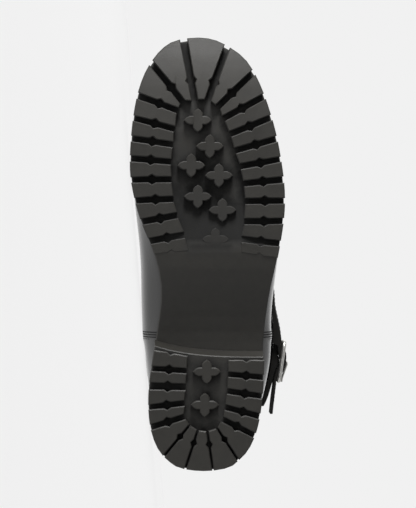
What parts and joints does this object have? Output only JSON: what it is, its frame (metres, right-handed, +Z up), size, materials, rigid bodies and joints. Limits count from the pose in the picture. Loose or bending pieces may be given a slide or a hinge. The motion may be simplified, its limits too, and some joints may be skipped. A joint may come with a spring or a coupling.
{
  "type": "winter boot",
  "caption": "Black leather winter boot with a lugged rubber sole, separate heel and a buckled ankle strap, lying on its side with the sole facing out.",
  "frame": {"origin": "bottom centre of the lying boot's box, on the floor", "axes": "-X to the toe, -Y out of the tread, +Z up, away from the floor, on the boot's lateral side"},
  "size_m": [0.2996, 0.241, 0.1054],
  "materials": {
    "outsole_rubber": "matte black moulded rubber",
    "heel_rubber": "matte black moulded rubber",
    "upper_leather": "smooth semi-gloss black leather",
    "insole_fabric": "dark grey felt",
    "strap_leather": "matte black leather",
    "buckle_metal": "bright nickel plate"
  },
  "bodies": {
    "root": {"outsole": "outsole_rubber", "heel": "heel_rubber", "upper": "upper_leather", "insole": "insole_fabric", "strap": "strap_leather", "buckle_strap": "strap_leather", "buckle_frame": "buckle_metal", "buckle_prong": "buckle_metal"}
  },
  "joints": []
}
